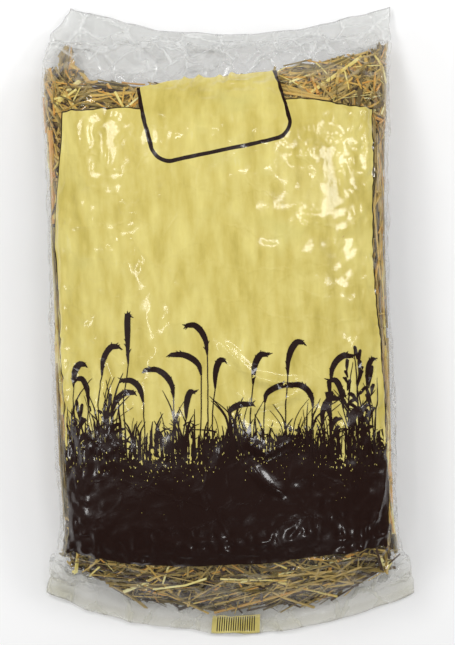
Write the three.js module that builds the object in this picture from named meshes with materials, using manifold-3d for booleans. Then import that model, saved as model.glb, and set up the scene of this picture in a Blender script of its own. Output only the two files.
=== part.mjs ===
// A clear film bag packed with loose barley straw, lying on its back with its front up.
// Millimetres, +Z up. The bag's length runs along Y, with its top end at +Y, and its width
// along X. The origin is on the surface it lies on, under the middle of its box.
import * as THREE from "three";
import { mergeVertices } from "three/addons/utils/BufferGeometryUtils.js";
import Module from "manifold-3d";

const wasm = await Module();
wasm.setup();

// ---- driving dimensions ----

const FILM = 0.8; // wall of the film, which is really about 0.06
const SEAL_LAND = 8; // how far the two films lie flat together inside either seal
const BOTTOM_SEAL = -266; // where the bottom seal starts
const BOTTOM_EDGE = -286; // the middle of the bottom fin's cut edge
const TOP_EDGE = 262; // the middle of the top fin's cut edge
const CROWN_POWER = 2.5; // how square the upper half of a cross-section is
const BELLY_POWER = 3.2; // and the lower half
const BELLY_SAG = 7; // how far the belly would hang below the surface it lies on
const VENT = { radius: 2.5, x: 0, y: 196 }; // punched through the back film to let air out

const STEM_GAP = 1.0; // least air between two stems
const OUTER_LAYER = 4.8; // depth of the outer stems' centrelines below the film
const INNER_LAYER = 10.2; // and of the inner stems'
const FILL_DEPTH = 14.5; // depth of the packed straw below the film
const FILL_FLOOR_GAP = 1.6; // air between the packed straw and the film under it

// Heights and edges along the bag, each as [y, value] points on a smooth curve.
const LEFT_EDGE = [
  [-286, -165.5], [-262, -162.5], [-225, -155.5], [-180, -149.5], [-120, -154.5], [-40, -157.5],
  [60, -159.5], [140, -164.5], [200, -170.5], [232, -165.5], [262, -143.5],
];
const RIGHT_EDGE = [
  [-286, 170.5], [-262, 167.5], [-225, 159.5], [-180, 152.5], [-120, 149.5], [-40, 148.5],
  [60, 143.5], [140, 143.5], [200, 145.5], [232, 147.5], [262, 148.5],
];
const CROWN = [
  [-286, 2.6], [-266, 9.4], [-256, 28], [-240, 54], [-215, 76], [-180, 91], [-130, 99],
  [-60, 104], [40, 105], [120, 101], [170, 94], [200, 80], [220, 56], [236, 30],
  [250, 11], [262, 2.6],
];
const UNDERSIDE = [
  [-286, 1.2], [-266, 8], [-256, 5], [-240, 0], [-215, 0], [-180, 0], [-130, 0],
  [-60, 0], [40, 0], [120, 0], [170, 0], [200, 0], [220, 0], [236, 1], [250, 2], [262, 1.2],
];
// How far the ends of a cross-section lie nearer the top of the bag than its middle does.
const BOW = [
  [-286, 38], [-262, 30], [-225, 12], [-150, 0], [0, 0], [150, 0], [215, 12], [262, 24],
];

const COLOURS = {
  film: 0xd6d8d0,
  packed: 0xa8873f,
  stem: [0xc9a44c, 0xb08d3e, 0xd9b765, 0x9c8a45],
  leaf: 0xb9a468,
};

// ---- curves and cross-sections ----

// A smooth function through [y, value] points that never overshoots between them.
function curveThrough(points) {
  const slope = points.map((point, i) => {
    if (i === 0 || i === points.length - 1) return 0;
    const [before, after] = [points[i - 1], points[i + 1]];
    const left = (point[1] - before[1]) / (point[0] - before[0]);
    const right = (after[1] - point[1]) / (after[0] - point[0]);
    return left * right <= 0 ? 0 : (2 * left * right) / (left + right);
  });
  return (y) => {
    const last = points.length - 2;
    const found = points.findIndex((point) => point[0] > y) - 1;
    const i = found === -2 ? last : Math.max(found, 0);
    const [[y0, v0], [y1, v1]] = [points[i], points[i + 1]];
    const span = y1 - y0;
    const t = THREE.MathUtils.clamp((y - y0) / span, 0, 1);
    const rise = t * t * (3 - 2 * t);
    const leave = t * (1 - t) * (1 - t) * span * slope[i];
    const arrive = t * t * (t - 1) * span * slope[i + 1];
    return v0 + (v1 - v0) * rise + leave + arrive;
  };
}

const leftEdge = curveThrough(LEFT_EDGE);
const rightEdge = curveThrough(RIGHT_EDGE);
const crown = curveThrough(CROWN);
const underside = curveThrough(UNDERSIDE);
const bow = curveThrough(BOW);
const WIDEST_AT = 0.42; // share of a cross-section's height where it is widest
const END_SLOPES = [150, 230]; // distances from the middle over which the bag slopes down

// A signed power, for the rounded rectangle of a cross-section.
const bend = (value, power) => Math.sign(value) * Math.abs(value) ** (2 / power);

// The point at an angle round the cross-section at y, a depth below the bag's outside.
// Angle 0 is +X and a quarter turn is straight up. endGap is how far it is drawn in from the
// sloping ends, floorGap is its least height above the belly, and spread is 1 on the skin and 0
// in the middle of the cross-section.
function bagPoint(y, angle, depth, endGap, floorGap = depth, spread = 1) {
  const [left, right] = [leftEdge(y) + depth, rightEdge(y) - depth];
  const [low, high] = [underside(y), crown(y)];
  const middle = low + (high - low) * WIDEST_AT;
  const [across, up] = [Math.cos(angle), Math.sin(angle)];
  const power = up >= 0 ? CROWN_POWER : BELLY_POWER;
  const share = spread * bend(across, power);
  const x = (left + right) / 2 + ((right - left) / 2) * share;
  const sag = BELLY_SAG * Math.max(0, 1 - low);
  const reach = up >= 0 ? high - depth - middle : middle - low + sag;
  const z = Math.max(middle + spread * reach * bend(up, power), low + floorGap);
  const inwards = -Math.sign(y) * endGap * THREE.MathUtils.smoothstep(Math.abs(y), ...END_SLOPES);
  return new THREE.Vector3(x, y + bow(y) * share * share + inwards, z);
}

// ---- solids ----

// Places along the bag from y0 to y1, closer together towards the ends.
function stationsBetween(y0, y1, count) {
  return Array.from({ length: count }, (_, i) => {
    const even = i / (count - 1);
    const eased = (1 - Math.cos(Math.PI * even)) / 2;
    return THREE.MathUtils.lerp(y0, y1, (even + 2 * eased) / 3);
  });
}

// A closed skin through the cross-sections at these stations: a box of squares pushed round.
function skin(stations, [across, upwards], depth, endGap, floorGap) {
  const steps = stations.length - 1;
  const geometry = new THREE.BoxGeometry(2, steps, 2, across, steps, upwards);
  const place = geometry.attributes.position;
  for (let i = 0; i < place.count; i++) {
    const [u, v, w] = [place.getX(i), place.getY(i), place.getZ(i)];
    const y = stations[Math.round(v + steps / 2)];
    const spread = Math.max(Math.abs(u), Math.abs(w));
    const point = bagPoint(y, Math.atan2(w, u), depth, endGap, floorGap, spread);
    place.setXYZ(i, point.x, point.y, point.z);
  }
  return facingOut(geometry);
}

// The geometry with only positions left, its shared vertices merged and its faces out.
function facingOut(geometry) {
  geometry.deleteAttribute("normal");
  geometry.deleteAttribute("uv");
  const merged = mergeVertices(geometry, 1e-3);
  const corners = merged.index.array;
  const [a, b, c] = [0, 1, 2].map(() => new THREE.Vector3());
  const place = merged.attributes.position;
  let volume = 0;
  for (let i = 0; i < corners.length; i += 3) {
    a.fromBufferAttribute(place, corners[i]);
    b.fromBufferAttribute(place, corners[i + 1]);
    c.fromBufferAttribute(place, corners[i + 2]);
    volume += a.dot(b.cross(c));
  }
  if (volume < 0) {
    for (let i = 0; i < corners.length; i += 3) {
      [corners[i + 1], corners[i + 2]] = [corners[i + 2], corners[i + 1]];
    }
  }
  return merged;
}

function toSolid(geometry) {
  const vertProperties = geometry.attributes.position.array;
  const triVerts = new Uint32Array(geometry.index.array);
  return new wasm.Manifold(new wasm.Mesh({ numProp: 3, vertProperties, triVerts }));
}

function toGeometry(solid) {
  const { vertProperties, triVerts } = solid.getMesh();
  return new THREE.BufferGeometry()
    .setAttribute("position", new THREE.BufferAttribute(vertProperties, 3))
    .setIndex(new THREE.BufferAttribute(triVerts, 1));
}

const straw = new THREE.Group();

function addPart(name, geometry, color, roughness) {
  const material = new THREE.MeshStandardMaterial({ color, roughness, metalness: 0 });
  const mesh = new THREE.Mesh(geometry, material);
  mesh.name = name;
  straw.add(mesh);
  return mesh;
}

// The film bag: a tube sealed into a flat fin at each end, with one small air vent.
const FILM_SQUARES = [10, 8];
const STATIONS = stationsBetween(BOTTOM_EDGE, TOP_EDGE, 28);
const VENT_HEIGHT = 4;
function filmBag() {
  const hollow = STATIONS.filter((y) => y > BOTTOM_SEAL + SEAL_LAND && y < TOP_EDGE - SEAL_LAND);
  const outside = toSolid(skin(STATIONS, FILM_SQUARES, 0, 0, 0));
  const inside = toSolid(skin(hollow, FILM_SQUARES, FILM, 0, FILM));
  const vent = new THREE.CylinderGeometry(VENT.radius, VENT.radius, VENT_HEIGHT, 12);
  vent.rotateX(Math.PI / 2);
  vent.translate(VENT.x, VENT.y, 0);
  return toGeometry(outside.subtract(inside).subtract(toSolid(facingOut(vent))));
}
addPart("film_bag", filmBag(), COLOURS.film, 0.15);

// The packed straw: the mass of stems that fills the bag.
const FILL_SQUARES = [8, 4];
const FILL_STATIONS = stationsBetween(-240, 214, 17);
const packed = skin(FILL_STATIONS, FILL_SQUARES, FILL_DEPTH, FILL_DEPTH, FILM + FILL_FLOOR_GAP);
addPart("packed_straw", packed, COLOURS.packed, 0.9);

// ---- loose stems and leaf blades between the packed straw and the film ----

// Repeatable numbers from 0 to 1.
function seededRandom(seed) {
  let state = seed;
  return () => {
    state = (state * 1664525 + 1013904223) % 4294967296;
    return state / 4294967296;
  };
}
const random = seededRandom(38);
const between = (low, high) => low + (high - low) * random();

// A straw's centreline under the film: a straight line in length along and angle round the bag.
const LINE_POINTS = 49;
function lineUnderFilm(from, to, depth) {
  return Array.from({ length: LINE_POINTS }, (_, i) => {
    const t = i / (LINE_POINTS - 1);
    const y = THREE.MathUtils.lerp(from.y, to.y, t);
    const angle = THREE.MathUtils.lerp(from.angle, to.angle, t);
    return bagPoint(y, angle, depth, depth);
  });
}

const laid = [];
function isClear(line, radius) {
  return laid.every((other) => {
    const least = radius + other.radius + STEM_GAP;
    return line.every((point) => other.line.every((there) => there.distanceTo(point) > least));
  });
}

// The places where straw shows through clear film, as y and angle ranges in degrees.
const WINDOWS = [
  { name: "bottom", count: 15, y: [-236, -212], angle: [35, 145], lean: 34, reach: [22, 52] },
  { name: "top_left", count: 5, y: [176, 204], angle: [112, 152], lean: 14, reach: [26, 50] },
  { name: "top_right", count: 6, y: [176, 206], angle: [30, 72], lean: 14, reach: [26, 50] },
  { name: "left_side", count: 6, y: [-170, 150], angle: [160, 196], lean: 7, reach: [70, 130] },
  { name: "right_side", count: 6, y: [-170, 150], angle: [-16, 20], lean: 7, reach: [70, 130] },
];
const LAYERS = [OUTER_LAYER, INNER_LAYER];
const Y_LIMITS = [-240, 212];

function layStraw(window, radius) {
  for (let tries = 0; tries < 4000; tries++) {
    const middle = { y: between(...window.y), angle: between(...window.angle) };
    const lean = between(-window.lean, window.lean);
    const half = between(...window.reach) / 2;
    const ends = [-1, 1].map((side) => ({
      y: THREE.MathUtils.clamp(middle.y + side * half, ...Y_LIMITS),
      angle: THREE.MathUtils.degToRad(middle.angle + side * lean),
    }));
    const line = lineUnderFilm(ends[0], ends[1], LAYERS[tries % 2]);
    if (isClear(line, radius)) {
      laid.push({ line, radius });
      return line;
    }
  }
  throw new Error("no room for another straw in the " + window.name + " window");
}

// A straw is a round stem or, one in every few, a flat leaf blade.
const SIDES = 6;
const STEPS = 7;
const BLADE_EVERY = 6;
const BLADE_HALF_WIDTH = 2.9;
const BLADE_HALF_THICKNESS = 0.5;
function strawGeometry(line, halfWidth, halfThickness) {
  const section = new THREE.Shape(
    Array.from({ length: SIDES }, (_, i) => {
      const turn = (i * 2 * Math.PI) / SIDES;
      return new THREE.Vector2(halfThickness * Math.cos(turn), halfWidth * Math.sin(turn));
    }),
  );
  const extrudePath = new THREE.CatmullRomCurve3(line);
  const options = { steps: STEPS, bevelEnabled: false, extrudePath };
  return facingOut(new THREE.ExtrudeGeometry(section, options));
}

const numbered = (name, number) => name + "_" + String(number).padStart(2, "0");
const laidSoFar = { stem: 0, leaf_blade: 0 };
for (const window of WINDOWS) {
  for (let i = 0; i < window.count; i++) {
    const isBlade = laid.length % BLADE_EVERY === BLADE_EVERY - 1;
    const halfWidth = isBlade ? BLADE_HALF_WIDTH : between(1.3, 2.2);
    const halfThickness = isBlade ? BLADE_HALF_THICKNESS : halfWidth;
    const line = layStraw(window, halfWidth);
    const kind = isBlade ? "leaf_blade" : "stem";
    const tone = isBlade ? COLOURS.leaf : COLOURS.stem[i % COLOURS.stem.length];
    addPart(numbered(kind, ++laidSoFar[kind]), strawGeometry(line, halfWidth, halfThickness), tone, 0.6);
  }
}

export default straw;
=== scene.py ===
# %% [markdown]
# # A clear bag of loose barley straw
#
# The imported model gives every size: a film bag that lies on its back, the mass of straw that
# fills it, and the stems and leaf blades that show through its clear parts. This lesson makes
# what is seen: film pulled tight over real straws, and a print on the film.

import itertools
import math

import bpy
import numpy as np
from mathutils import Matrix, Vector
from mathutils.bvhtree import BVHTree
from mathutils.kdtree import KDTree


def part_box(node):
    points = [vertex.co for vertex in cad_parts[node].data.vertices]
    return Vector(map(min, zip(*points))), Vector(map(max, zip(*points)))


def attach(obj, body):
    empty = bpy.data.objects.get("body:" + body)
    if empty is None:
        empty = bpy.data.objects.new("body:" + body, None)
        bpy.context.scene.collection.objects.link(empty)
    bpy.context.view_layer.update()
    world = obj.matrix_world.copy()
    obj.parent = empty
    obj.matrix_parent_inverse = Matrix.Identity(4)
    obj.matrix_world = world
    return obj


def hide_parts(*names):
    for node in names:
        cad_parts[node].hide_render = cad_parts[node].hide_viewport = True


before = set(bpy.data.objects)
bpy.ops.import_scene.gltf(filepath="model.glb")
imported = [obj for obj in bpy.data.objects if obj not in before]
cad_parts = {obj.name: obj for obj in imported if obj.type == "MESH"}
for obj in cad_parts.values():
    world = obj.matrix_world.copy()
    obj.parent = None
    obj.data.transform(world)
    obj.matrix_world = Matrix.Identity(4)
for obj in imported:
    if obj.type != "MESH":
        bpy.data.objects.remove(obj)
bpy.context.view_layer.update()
SCENE = bpy.context.scene

# %% [markdown]
# ## Helpers for modelling
#
# Operators act on whatever is selected, so each piece starts from an empty selection. A mesh is
# reshaped by reading all its vertices as one array and writing them back, which is quick even
# for a film with many thousands of points.

# %% Selecting, reading and writing
def select_nothing():
    bpy.ops.object.select_all(action="DESELECT")


def select_only(piece):
    select_nothing()
    piece.select_set(True)
    bpy.context.view_layer.objects.active = piece


def points_of(piece):
    points = np.zeros(len(piece.data.vertices) * 3)
    piece.data.vertices.foreach_get("co", points)
    return points.reshape(-1, 3)


def move_points(piece, points):
    piece.data.vertices.foreach_set("co", np.ascontiguousarray(points, float).ravel())
    piece.data.update()


def in_edit_mode(piece, *steps):
    """Runs operators on the whole mesh. Each step is (operator, its settings)."""
    select_only(piece)
    bpy.ops.object.mode_set(mode="EDIT")
    for operator, settings in steps:
        bpy.ops.mesh.select_all(action="SELECT")
        operator(**settings)
    bpy.ops.object.mode_set(mode="OBJECT")


def with_modifier(piece, kind, **settings):
    """Adds a modifier and applies it."""
    select_only(piece)
    modifier = piece.modifiers.new(kind.lower(), kind)
    for name, value in settings.items():
        setattr(modifier, name, value)
    bpy.ops.object.modifier_apply(modifier=modifier.name)
    return piece


# %% [markdown]
# ## Lumps and ramps
#
# Straw, film and print all need an unevenness that is smooth and is the same each time the
# script runs. Gradient noise does this: slopes are set on a lattice of cells and blended
# between them. A smooth step is a ramp from 0 to 1 that fades one shape into another.

# %% Smooth noise that is the same on every run
def lumps(points, size, seed):
    """Gradient noise at each point, about -1 to 1, with lumps about size across."""
    random = np.random.default_rng(seed)
    order = random.permutation(256)
    slopes = random.normal(size=(256, 3))
    slopes /= np.linalg.norm(slopes, axis=1, keepdims=True)
    place = np.asarray(points, float) / size
    cell = np.floor(place).astype(int)
    inside = place - cell
    ease = inside**3 * (inside * (inside * 6 - 15) + 10)
    total = np.zeros(place.shape[:-1])
    for corner in itertools.product((0, 1), repeat=3):
        at = (cell + corner) & 255
        slope = slopes[order[(order[(order[at[..., 0]] + at[..., 1]) & 255] + at[..., 2]) & 255]]
        weight = np.prod(np.where(corner, ease, 1 - ease), axis=-1)
        total += weight * ((inside - corner) * slope).sum(-1)
    return 1.6 * total


def smooth_step(low, high, value):
    share = np.clip((np.asarray(value, float) - low) / (high - low), 0, 1)
    return share * share * (3 - 2 * share)


# %% [markdown]
# ## The bag's shape, measured from the frame
#
# A filled bag is a loft: a rounded section at each place along its length. The CAD solid is
# coarse, so rays are shot at it to read how wide and how high it is at each place, and a
# smooth curve goes through the readings. The sections bow, because the ends of a full bag
# don't stay straight: their corners lie further up the bag than their middles.

# %% Curves through readings
WIDEST_AT = 0.42  # share of a section's height where it is widest
CROWN_POWER = 2.5  # how square the upper half of a section is
BELLY_POWER = 3.2
BELLY_SAG = 0.007  # how far the belly would hang below the surface it lies on
ENDS = (-0.286, 0.262)  # the middle of each end's cut edge
FIN_HEIGHTS = (0.0012, 0.0026)  # the cut edge's two films
BOW = [  # places along the bag, and how much further up it the sides are than the middle
    (-0.286, 0.038), (-0.262, 0.030), (-0.225, 0.012), (-0.150, 0.0), (0.0, 0.0),
    (0.150, 0.0), (0.215, 0.012), (0.262, 0.024),
]


def curve_through(readings):
    """A smooth function through (y, value) readings that never overshoots between them."""
    places, values = np.array(readings, float).T
    slopes = np.diff(values) / np.diff(places)
    before, after = slopes[:-1], slopes[1:]
    same_way = before * after > 0
    mean = 2 * before * after / np.where(same_way, before + after, 1)
    tangent = np.concatenate([[0], np.where(same_way, mean, 0), [0]])

    def curve(y):
        y = np.clip(y, places[0], places[-1])
        i = np.clip(np.searchsorted(places, y, side="right") - 1, 0, len(places) - 2)
        span = places[i + 1] - places[i]
        t = (y - places[i]) / span
        rise = values[i] + (values[i + 1] - values[i]) * t * t * (3 - 2 * t)
        return rise + span * t * (1 - t) * ((1 - t) * tangent[i] - t * tangent[i + 1])

    return curve


bow = curve_through(BOW)

# %% [markdown]
# ## Reading the CAD bag
#
# At each place along the bag a ray comes down, one comes up and one comes from each side. The
# two cut edges have no thickness for a ray to find, so their corners are read from the solid's
# own points. Four curves then say how wide and how high the bag is anywhere along it.

# %% Shoot rays at the CAD bag
READINGS = 28
CLEAR_OF_EDGES = 0.024  # no ray comes nearer to a cut edge than this


def measure_bag(node):
    """Curves along the bag of its left edge, right edge, crown and underside."""
    tree = BVHTree.FromObject(node, bpy.context.evaluated_depsgraph_get())
    far = 1.0

    def ray(start, direction):
        return tree.ray_cast(Vector(start), Vector(direction))[0]

    def fin_corner(side, end):
        """How far out the cut edge's corner is, on one side of one end."""
        places = points_of(node)
        near = places[(places[:, 0] * side > 0.12) & (places[:, 1] * end > 0.2)]
        best = near[:, 0] * side if end < 0 else near[:, 1]
        return near[np.argmax(best), 0]

    readings = []
    for y in np.linspace(ENDS[0] + CLEAR_OF_EDGES, ENDS[1] - CLEAR_OF_EDGES, READINGS):
        high = ray((0, y, far), (0, 0, -1)).z
        low = ray((0, y, -far), (0, 0, 1)).z
        widest = (-far, y + float(bow(y)), low + (high - low) * WIDEST_AT)
        left = ray(widest, (1, 0, 0)).x
        right = ray((far, *widest[1:]), (-1, 0, 0)).x
        readings.append((y, left, right, high, low))
    for y, end in zip(ENDS, (-1, 1)):
        low, high = FIN_HEIGHTS
        readings.append((y, fin_corner(-1, end), fin_corner(1, end), high, low))
    readings.sort()
    return [curve_through([(r[0], r[i]) for r in readings]) for i in (1, 2, 3, 4)]


left_edge, right_edge, crown, underside = measure_bag(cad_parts["film_bag"])


def on_bag(y, angle, depth=0.0, floor_gap=0.0):
    """The point at an angle round the section at y, a depth under the film's smooth shape."""
    left, right = left_edge(y) + depth, right_edge(y) - depth
    low, high = underside(y), crown(y)
    middle = low + (high - low) * WIDEST_AT
    across, up = np.cos(angle), np.sin(angle)
    power = 2 / np.where(up >= 0, CROWN_POWER, BELLY_POWER)
    share = np.sign(across) * np.abs(across) ** power
    x = (left + right) / 2 + (right - left) / 2 * share
    sag = BELLY_SAG * np.clip(1 - low * 1000, 0, None)
    reach = np.where(up >= 0, high - depth - middle, middle - low + sag)
    z = middle + reach * np.sign(up) * np.abs(up) ** power
    z = np.maximum(z, low + floor_gap)
    return np.stack([x, y + bow(y) * share**2, z], axis=-1)


# %% [markdown]
# ## A grid of film
#
# Film can't stretch, so its mesh has cells of one size, like graph paper: rows equally far
# apart along the crown, and points equally far apart round each row. Everything that lies on
# the film or under it is placed by its place on this paper.

# %% Lay the grid
FLAT_GIRTH = 0.72  # twice the width of the empty bag
FINE_ROWS, FINE_COLUMNS = 272, 312


def lengths_along(points):
    steps = np.linalg.norm(np.diff(points, axis=0), axis=1)
    return np.concatenate([[0], np.cumsum(steps)])


def crown_rows(count):
    """Places y along the bag that are equally far apart on the crown, and the crown's length."""
    fine = np.linspace(*ENDS, 1200)
    run = lengths_along(on_bag(fine, np.full_like(fine, math.pi / 2)))
    return np.interp(np.linspace(0, run[-1], count + 1), run, fine), run[-1]


def film_grid(rows, columns, depth=0.0, floor_gap=0.0):
    """Points on the bag, rows by columns, starting and ending each row under the belly."""
    turn = np.linspace(1.5 * math.pi, -0.5 * math.pi, 1601)
    grid = np.zeros((len(rows), columns, 3))
    for row, y in enumerate(rows):
        run = lengths_along(on_bag(np.full_like(turn, y), turn, depth, floor_gap))
        even = np.interp(np.arange(columns) / columns * run[-1], run, turn)
        grid[row] = on_bag(np.full_like(even, y), even, depth, floor_gap)
    return grid


def normals_of(grid):
    """Outward normals of a grid that closes on itself round each row."""
    around = np.roll(grid, -1, axis=1) - np.roll(grid, 1, axis=1)
    along = np.gradient(grid, axis=0)
    out = np.cross(around, along)
    return out / np.maximum(np.linalg.norm(out, axis=2, keepdims=True), 1e-12)


CROWN_LENGTH = crown_rows(4)[1]
print("crown length", round(CROWN_LENGTH, 4), "flat girth", FLAT_GIRTH)


def at_film(grid, u, v):
    """The grid's value at film places: u metres right of the front's centre line, v metres up."""
    rows, columns = grid.shape[:2]
    row = np.clip((v / CROWN_LENGTH + 0.5) * (rows - 1), 0, rows - 1.001)
    column = (u / FLAT_GIRTH + 0.5) * columns
    r, c = np.floor(row).astype(int), np.floor(column).astype(int)
    fr, fc = (row - r)[..., None], (column - c)[..., None]
    c0, c1 = c % columns, (c + 1) % columns
    near = grid[r, c0] * (1 - fc) + grid[r, c1] * fc
    return near * (1 - fr) + (grid[r + 1, c0] * (1 - fc) + grid[r + 1, c1] * fc) * fr


# %% [markdown]
# ## From a grid to a mesh
#
# A flat grid already has its faces and a map over all of it, so it is made with the right
# number of rows and columns, and its points are moved. The seam under the belly and the two
# cut edges are closed by joining the points that meet there.

# %% Make a mesh from a grid
MERGE = 2e-6  # points nearer than this are one point


def grid_piece(name, grid, closed=True):
    """A flat grid primitive whose points are moved to a grid's, with a map over all of it."""
    if closed:
        grid = np.concatenate([grid, grid[:, :1]], axis=1)
    rows, columns = grid.shape[:2]
    bpy.ops.mesh.primitive_grid_add(x_subdivisions=columns - 1, y_subdivisions=rows - 1, size=1)
    piece = bpy.context.object
    piece.name = piece.data.name = name
    piece.data.uv_layers[0].name = "OFBake"
    move_points(piece, grid.reshape(-1, 3))
    return piece


def close_up(piece):
    """Joins the points that meet, and turns the faces outwards."""
    in_edit_mode(
        piece,
        (bpy.ops.mesh.remove_doubles, {"threshold": MERGE}),
        (bpy.ops.mesh.normals_make_consistent, {"inside": False}),
    )
    return piece


# %% [markdown]
# ## The straw that the film lies on
#
# Under the film the straw is a mass with a lumpy surface. The same lumpy grid is used twice:
# just under the film, for the film to lie on, and deeper, as the dark body that shows in the
# gaps between the straws.

# %% Lumpy straw
BODY_LOWEST = 0.0004  # the lumpy body stays this far above the surface that the bag lies on


def lumpy_grid(ends, rows, columns, depth, height, seed):
    """The bag's shape at a depth, with lumps that only rise from it."""
    grid = film_grid(np.linspace(*ends, rows), columns, depth, BODY_LOWEST + 0.5 * depth)
    rise = 0.75 * lumps(grid, 0.026, seed) + 0.55 * lumps(grid, 0.011, seed + 1)
    grid = grid + normals_of(grid) * (height * np.clip(0.35 + rise, 0, 1))[..., None]
    grid[..., 2] = np.maximum(grid[..., 2], BODY_LOWEST)
    return grid


# %% [markdown]
# ## The film, pulled tight over the straw
#
# A packer fills the bag, presses the air out and seals it, so the film is pulled over the
# straws and spans the hollows between them. That is what a cloth simulation does well: film
# that shrinks a little onto a lumpy body. Its two seals are pinned. The result is read off as
# a grid, and the simulation is thrown away.

# %% Simulate the film
STRAW_ENDS = (-0.258, 0.232)  # where the filled part of the bag begins and ends
SHRINK = 0.016  # the share of its size that the film shrinks by
SIM_FRAMES = 14
CLEARANCE = 0.0006
LARGEST_MOVE = 0.006
DEEPEST = 0.0022  # the film can go no further in, because the straw holds it
COARSE = 2  # the film is simulated on a grid with every second row and column
PINNED_ROWS = [0, 1, 2, 3, 4, -3, -2, -1]


def pulled_tight(grid):
    """The grid after the film has shrunk onto the straw."""
    film = close_up(grid_piece("film_to_simulate", grid))
    start = points_of(film)
    tree = KDTree(len(start))
    for index, place in enumerate(start):
        tree.insert(place, index)
    tree.balance()
    vertex = np.array([tree.find(place)[1] for place in grid.reshape(-1, 3)])
    vertex = vertex.reshape(grid.shape[:2])

    straw = lumpy_grid(STRAW_ENDS, rows=76, columns=90, depth=0.0028, height=0.0022, seed=21)
    body = grid_piece("straw_to_lie_on", straw)
    in_edit_mode(body, (bpy.ops.mesh.remove_doubles, {"threshold": MERGE}))
    body.modifiers.new("collision", "COLLISION")
    body.collision.thickness_outer = CLEARANCE
    body.collision.thickness_inner = 0.004
    body.collision.cloth_friction = 8

    seals = film.vertex_groups.new(name="seals")
    seals.add(np.unique(vertex[PINNED_ROWS]).tolist(), 1.0, "REPLACE")
    cloth = film.modifiers.new("cloth", "CLOTH")
    for name, value in {
        "quality": 4, "mass": 0.045, "air_damping": 1, "bending_model": "ANGULAR",
        "tension_stiffness": 40, "compression_stiffness": 5, "shear_stiffness": 8,
        "tension_damping": 3, "compression_damping": 3, "shear_damping": 3,
        "bending_stiffness": 0.02, "bending_damping": 0.5, "vertex_group_mass": "seals",
        "pin_stiffness": 1, "shrink_min": SHRINK, "shrink_max": SHRINK,
    }.items():
        setattr(cloth.settings, name, value)
    cloth.settings.effector_weights.gravity = 0
    cloth.collision_settings.distance_min = CLEARANCE
    cloth.collision_settings.collision_quality = 4
    cloth.point_cache.frame_end = SIM_FRAMES + 1
    for step in range(1, SIM_FRAMES + 1):
        SCENE.frame_set(step)
    select_only(film)
    bpy.ops.object.modifier_apply(modifier="cloth")
    moved = points_of(film) - start
    SCENE.frame_set(1)
    for piece in (film, body):
        bpy.data.objects.remove(piece)
    far = np.linalg.norm(moved, axis=1, keepdims=True)
    print("film moved, mm: mean %.2f, most %.2f" % (far.mean() * 1000, far.max() * 1000))
    moved *= np.minimum(1, LARGEST_MOVE / np.maximum(far, 1e-9))
    moved = moved[vertex]
    out = normals_of(grid)
    height = (moved * out).sum(axis=2, keepdims=True)
    held = np.where(height < 0, DEEPEST * np.tanh(height / DEEPEST), height)
    return grid + moved + (held - height) * out


def twice_as_fine(values, wraps):
    """Puts a point on a smooth curve between each two along the first axis."""
    if wraps:
        before, after = values[-1:], values[:2]
    else:
        before = 2 * values[:1] - values[1:2]
        after = 2 * values[-1:] - values[-2:-1]
    padded = np.concatenate([before, values, after])
    between = (9 * (padded[1:-2] + padded[2:-1]) - padded[:-3] - padded[3:]) / 16
    fine = np.empty((len(values) + len(between), *values.shape[1:]))
    fine[0::2], fine[1::2] = values, between
    return fine


def closed_ends(grid):
    """Front and back film meet along the cut edges."""
    columns = grid.shape[1]
    partner = (columns // 2 - np.arange(columns)) % columns
    for row in (0, -1):
        grid[row] = (grid[row] + grid[row][partner]) / 2
    return grid


coarse_rows = crown_rows(FINE_ROWS // COARSE)[0]
tight = closed_ends(film_grid(coarse_rows, FINE_COLUMNS // COARSE))
tight = pulled_tight(tight)
tight = twice_as_fine(tight, wraps=False)
tight = np.swapaxes(twice_as_fine(np.swapaxes(tight, 0, 1), wraps=True), 0, 1)
tight = closed_ends(tight)
tight[..., 2] = np.maximum(tight[..., 2], 0)
tight_out = normals_of(tight)
print("film grid", tight.shape[:2], "lowest, mm %.2f" % (tight[..., 2].min() * 1000))

# %% [markdown]
# ## Folds and creases
#
# The simulation gives the broad shape. Stiff film also crumples into flat facets with sharp
# ridges, and gathers in pleats where a seal is narrower than the bag. These are smaller than
# the simulation can hold, so they are added to the grid as heights along its normals: facets
# around scattered places, tapering pleats from both seals, and a few long folds along listed
# paths where a packer's grip leaves them.

# %% Where each point of the film is
def film_places(grid):
    """u and v of every point: metres right of the front's middle, and metres up from it."""
    rows, columns = grid.shape[:2]
    v = (np.arange(rows) / (rows - 1) - 0.5) * CROWN_LENGTH
    u = (np.arange(columns) / columns - 0.5) * FLAT_GIRTH
    return np.meshgrid(u, v)


film_u, film_v = film_places(tight)
STRAW_TOP = [  # (u, v) of the highest straws, in millimetres
    (-360, 235), (-179, 243), (-115, 220), (-14, 240), (87, 268), (164, 270), (360, 235),
]
straw_top = curve_through(np.array(STRAW_TOP) / 1000)
STRAW_BOTTOM = [  # and of the lowest
    (-360, -262), (-170, -225), (-140, -258), (-120, -276), (-104, -298), (-60, -300),
    (0, -297), (80, -300), (102, -298), (122, -278), (144, -262), (165, -225), (360, -262),
]
straw_bottom = curve_through(np.array(STRAW_BOTTOM) / 1000)


# %% [markdown]
# ## Facets, pleats and folds
#
# The distance to the nearest of many scattered places has the shape of crumpled film: a cone
# round each place, with a sharp ridge where two cones meet. Such facets are high where the film
# is loose and nearly flat where straw presses on it. A pleat is a ridge that widens and dies
# away from its seal, and a fold is a ridge along a path.

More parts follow.
